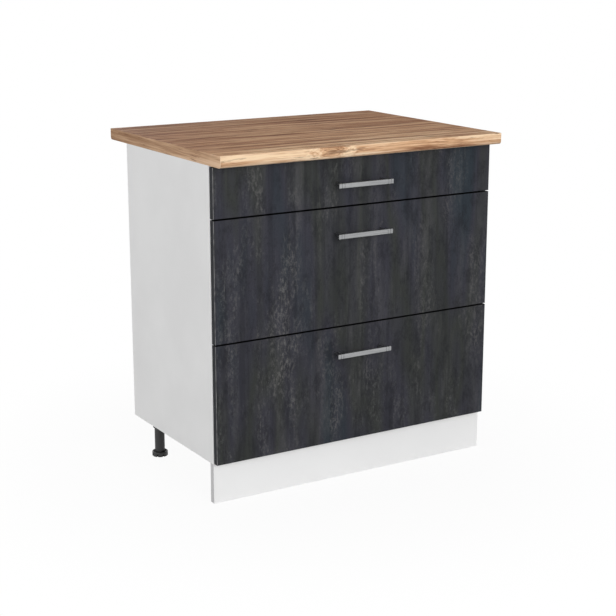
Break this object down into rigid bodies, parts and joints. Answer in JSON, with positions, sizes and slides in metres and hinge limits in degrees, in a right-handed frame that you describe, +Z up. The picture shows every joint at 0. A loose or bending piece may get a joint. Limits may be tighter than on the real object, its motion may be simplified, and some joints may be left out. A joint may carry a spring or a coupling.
{
  "type": "kitchen base cabinet with drawers",
  "caption": "Base cabinet with a shallow drawer over two deep ones on roller runners, an overhanging worktop, bar handles, adjustable legs and a clip-on plinth.",
  "frame": {"origin": "on the floor under the middle of the worktop", "axes": "+X to the right, +Y to the rear (the fronts face -Y), +Z up"},
  "size_m": [0.8, 0.6, 0.85],
  "materials": {
    "oak_decor": "oak decor laminate, fine grain along the width, satin",
    "oak_edge_band": "oak decor edging band, satin",
    "white_board": "white melamine-faced board, fine pearl texture",
    "drawer_board": "white melamine-faced board, fine pearl texture",
    "white_plinth": "white melamine-faced board, smooth",
    "hardboard": "hardboard, white lacquer on one face",
    "beech": "plain turned beech",
    "slate_decor": "dark slate decor, matt, faint vertical streaks",
    "brushed_steel": "satin brushed",
    "white_coated_steel": "white epoxy coating, semi-gloss",
    "zinc_plated_screws": "bright zinc plate",
    "die_cast_zinc": "bare die casting",
    "roller_nylon": "white nylon",
    "black_plastic": "moulded, matt"
  },
  "bodies": {
    "carcass": {"worktop": "oak_decor", "worktop_end_bands": "oak_edge_band", "worktop_screws": "zinc_plated_screws", "side_panel_left": "white_board", "side_panel_right": "white_board", "bottom_panel": "white_board", "top_rail_front": "white_board", "top_rail_rear": "white_board", "back_panel": "hardboard", "cam_locks": "die_cast_zinc", "cam_bolts": "zinc_plated_screws", "leg_flanges": "black_plastic", "leg_screws": "zinc_plated_screws", "leg_tubes": "black_plastic", "runner_screws": "zinc_plated_screws", "cabinet_rails_1": "white_coated_steel", "cabinet_rails_2": "white_coated_steel", "cabinet_rails_3": "white_coated_steel"},
    "drawer_1": {"drawer_1_front": "slate_decor", "drawer_1_side_left": "drawer_board", "drawer_1_side_right": "drawer_board", "drawer_1_back": "drawer_board", "drawer_1_base": "hardboard", "drawer_1_handle": "brushed_steel", "drawer_1_handle_screws": "zinc_plated_screws", "drawer_1_dowels": "beech", "drawer_1_screws": "zinc_plated_screws", "drawer_1_rails": "white_coated_steel"},
    "front_roller_set_1": {"front_rollers_1": "roller_nylon"},
    "rear_roller_set_1": {"rear_rollers_1": "roller_nylon"},
    "drawer_2": {"drawer_2_front": "slate_decor", "drawer_2_side_left": "drawer_board", "drawer_2_side_right": "drawer_board", "drawer_2_back": "drawer_board", "drawer_2_base": "hardboard", "drawer_2_handle": "brushed_steel", "drawer_2_handle_screws": "zinc_plated_screws", "drawer_2_dowels": "beech", "drawer_2_screws": "zinc_plated_screws", "drawer_2_rails": "white_coated_steel"},
    "front_roller_set_2": {"front_rollers_2": "roller_nylon"},
    "rear_roller_set_2": {"rear_rollers_2": "roller_nylon"},
    "drawer_3": {"drawer_3_front": "slate_decor", "drawer_3_side_left": "drawer_board", "drawer_3_side_right": "drawer_board", "drawer_3_back": "drawer_board", "drawer_3_base": "hardboard", "drawer_3_handle": "brushed_steel", "drawer_3_handle_screws": "zinc_plated_screws", "drawer_3_dowels": "beech", "drawer_3_screws": "zinc_plated_screws", "drawer_3_rails": "white_coated_steel"},
    "front_roller_set_3": {"front_rollers_3": "roller_nylon"},
    "rear_roller_set_3": {"rear_rollers_3": "roller_nylon"},
    "foot_front_left": {"leg_foot_front_left": "black_plastic"},
    "foot_front_right": {"leg_foot_front_right": "black_plastic"},
    "foot_rear_left": {"leg_foot_rear_left": "black_plastic"},
    "foot_rear_right": {"leg_foot_rear_right": "black_plastic"},
    "plinth": {"plinth_panel": "white_plinth", "plinth_clips": "black_plastic"}
  },
  "joints": [
    {"name": "drawer_1_slide", "type": "slide", "parent": "carcass", "child": "drawer_1", "axis": [0, -1, 0], "range_m": [0, 0.3]},
    {"name": "front_rollers_1_spin", "type": "hinge", "parent": "carcass", "child": "front_roller_set_1", "pos_m": [0, -0.225, 0.7333], "axis": [1, 0, 0], "continuous": true},
    {"name": "rear_rollers_1_spin", "type": "hinge", "parent": "drawer_1", "child": "rear_roller_set_1", "pos_m": [0, 0.144, 0.7313], "axis": [1, 0, 0], "continuous": true},
    {"name": "drawer_2_slide", "type": "slide", "parent": "carcass", "child": "drawer_2", "axis": [0, -1, 0], "range_m": [0, 0.3]},
    {"name": "front_rollers_2_spin", "type": "hinge", "parent": "carcass", "child": "front_roller_set_2", "pos_m": [0, -0.225, 0.4353], "axis": [1, 0, 0], "continuous": true},
    {"name": "rear_rollers_2_spin", "type": "hinge", "parent": "drawer_2", "child": "rear_roller_set_2", "pos_m": [0, 0.144, 0.4333], "axis": [1, 0, 0], "continuous": true},
    {"name": "drawer_3_slide", "type": "slide", "parent": "carcass", "child": "drawer_3", "axis": [0, -1, 0], "range_m": [0, 0.3]},
    {"name": "front_rollers_3_spin", "type": "hinge", "parent": "carcass", "child": "front_roller_set_3", "pos_m": [0, -0.225, 0.1373], "axis": [1, 0, 0], "continuous": true},
    {"name": "rear_rollers_3_spin", "type": "hinge", "parent": "drawer_3", "child": "rear_roller_set_3", "pos_m": [0, 0.144, 0.1353], "axis": [1, 0, 0], "continuous": true},
    {"name": "foot_front_left_height", "type": "slide", "parent": "carcass", "child": "foot_front_left", "axis": [0, 0, -1], "range_m": [0, 0.015]},
    {"name": "foot_front_right_height", "type": "slide", "parent": "carcass", "child": "foot_front_right", "axis": [0, 0, -1], "range_m": [0, 0.015]},
    {"name": "foot_rear_left_height", "type": "slide", "parent": "carcass", "child": "foot_rear_left", "axis": [0, 0, -1], "range_m": [0, 0.015]},
    {"name": "foot_rear_right_height", "type": "slide", "parent": "carcass", "child": "foot_rear_right", "axis": [0, 0, -1], "range_m": [0, 0.015]},
    {"name": "plinth_pull_off", "type": "slide", "parent": "carcass", "child": "plinth", "axis": [0, -1, 0], "range_m": [0, 0.06]}
  ],
  "couplings": [
    {"joint": "front_rollers_1_spin", "follows": "drawer_1_slide", "rad_per_m": 117.65},
    {"joint": "rear_rollers_1_spin", "follows": "drawer_1_slide", "rad_per_m": 117.65},
    {"joint": "front_rollers_2_spin", "follows": "drawer_2_slide", "rad_per_m": 117.65},
    {"joint": "rear_rollers_2_spin", "follows": "drawer_2_slide", "rad_per_m": 117.65},
    {"joint": "front_rollers_3_spin", "follows": "drawer_3_slide", "rad_per_m": 117.65},
    {"joint": "rear_rollers_3_spin", "follows": "drawer_3_slide", "rad_per_m": 117.65}
  ]
}
